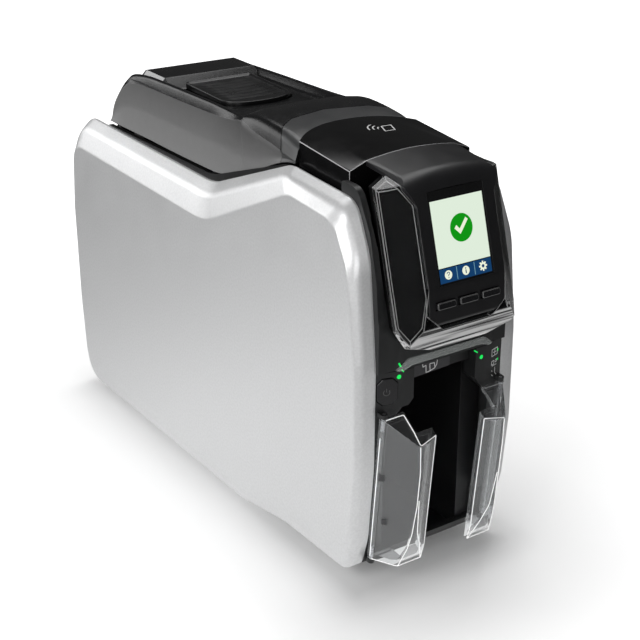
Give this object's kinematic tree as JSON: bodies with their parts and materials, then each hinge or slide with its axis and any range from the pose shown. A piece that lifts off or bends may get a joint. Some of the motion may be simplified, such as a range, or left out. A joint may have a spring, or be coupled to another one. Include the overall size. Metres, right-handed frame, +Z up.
{
  "type": "id card printer",
  "caption": "Narrow upright card printer with a hinged top cover, a tilted screen with soft keys, clear hopper doors and a thermal print mechanism inside.",
  "frame": {"origin": "centre of the part's footprint box, on the surface it stands on", "axes": "+Z up, +Y towards the back so the screen faces -Y, +X to the right seen from the front"},
  "size_m": [0.12, 0.3952, 0.2672],
  "materials": {
    "silver_panel": "satin metallic paint",
    "black_plastic": "fine satin texture",
    "gloss_black": "smooth gloss",
    "dark_plastic": "matt",
    "cover_plastic": "fine satin texture",
    "key_plastic": "satin",
    "foot_rubber": "matt",
    "roller_rubber": "matt",
    "clear_plastic": "clear moulded",
    "screen": "lit glass",
    "light_guide": "clear moulded",
    "led_green": "clear tinted",
    "steel": "plated",
    "head_metal": "satin",
    "ribbon": "film",
    "board_green": "solder mask"
  },
  "bodies": {
    "base": {"chassis": "black_plastic", "side_panel_left": "silver_panel", "side_panel_right": "silver_panel", "rear_panel": "dark_plastic", "feet": "foot_rubber", "display_housing": "black_plastic", "display_core": "gloss_black", "display_bezel": "gloss_black", "clear_lens": "clear_plastic", "screen_module": "dark_plastic", "screen_glass": "screen", "upper_fascia": "gloss_black", "light_bar": "light_guide", "lower_fascia": "gloss_black", "status_leds": "led_green", "hopper_liner": "black_plastic", "door_pins": "steel", "cover_pin": "steel", "print_frame": "dark_plastic", "ribbon_film": "ribbon", "feed_belt": "foot_rubber", "drive_motor": "head_metal", "main_board": "board_green", "power_inlet": "black_plastic", "usb_port": "steel", "network_port": "steel", "rear_screws": "steel"},
    "cover": {"top_cover": "cover_plastic", "cover_arms": "cover_plastic", "cover_tongue": "steel", "printhead": "head_metal"},
    "release": {"release_plate": "key_plastic"},
    "key_left": {"soft_key_left": "key_plastic"},
    "key_middle": {"soft_key_middle": "key_plastic"},
    "key_right": {"soft_key_right": "key_plastic"},
    "power": {"power_button": "key_plastic"},
    "door_left": {"door_left": "clear_plastic"},
    "door_right": {"door_right": "clear_plastic"},
    "supply": {"supply_spool": "ribbon"},
    "takeup": {"takeup_spool": "ribbon"},
    "platen": {"platen_roller": "roller_rubber"},
    "feed_front": {"feed_roller_front": "roller_rubber"},
    "feed_rear": {"feed_roller_rear": "roller_rubber"}
  },
  "joints": [
    {"name": "cover_hinge", "type": "hinge", "parent": "base", "child": "cover", "pos_m": [0, 0.15, 0.214], "axis": [-1, 0, 0], "range_deg": [0, 70]},
    {"name": "release_press", "type": "slide", "parent": "cover", "child": "release", "axis": [0, 0, -1], "range_m": [0, 0.0025], "stiffness_N_per_m": 900},
    {"name": "key_left_press", "type": "slide", "parent": "base", "child": "key_left", "axis": [0, 0.9877, -0.1564], "range_m": [0, 0.0008], "stiffness_N_per_m": 400},
    {"name": "key_middle_press", "type": "slide", "parent": "base", "child": "key_middle", "axis": [0, 0.9877, -0.1564], "range_m": [0, 0.0008], "stiffness_N_per_m": 400},
    {"name": "key_right_press", "type": "slide", "parent": "base", "child": "key_right", "axis": [0, 0.9877, -0.1564], "range_m": [0, 0.0008], "stiffness_N_per_m": 400},
    {"name": "power_press", "type": "slide", "parent": "base", "child": "power", "axis": [0, 1, 0], "range_m": [0, 0.001], "stiffness_N_per_m": 500},
    {"name": "door_right_hinge", "type": "hinge", "parent": "base", "child": "door_right", "pos_m": [0.0439, -0.1692, 0.0212], "axis": [0, -0.0941, 0.9956], "range_deg": [0, 60]},
    {"name": "door_left_hinge", "type": "hinge", "parent": "base", "child": "door_left", "pos_m": [-0.0439, -0.1692, 0.0212], "axis": [0, 0.0941, -0.9956], "range_deg": [0, 60]},
    {"name": "supply_spin", "type": "hinge", "parent": "base", "child": "supply", "pos_m": [0, 0.012, 0.176], "axis": [1, 0, 0], "continuous": true},
    {"name": "takeup_spin", "type": "hinge", "parent": "base", "child": "takeup", "pos_m": [0, 0.108, 0.176], "axis": [1, 0, 0], "continuous": true},
    {"name": "platen_spin", "type": "hinge", "parent": "base", "child": "platen", "pos_m": [0, 0.062, 0.126], "axis": [1, 0, 0], "continuous": true},
    {"name": "feed_front_spin", "type": "hinge", "parent": "base", "child": "feed_front", "pos_m": [0, -0.03, 0.126], "axis": [1, 0, 0], "continuous": true},
    {"name": "feed_rear_spin", "type": "hinge", "parent": "base", "child": "feed_rear", "pos_m": [0, 0.118, 0.126], "axis": [1, 0, 0], "continuous": true}
  ],
  "couplings": [
    {"joint": "feed_front_spin", "follows": "platen_spin", "ratio": 1},
    {"joint": "feed_rear_spin", "follows": "platen_spin", "ratio": 1}
  ]
}
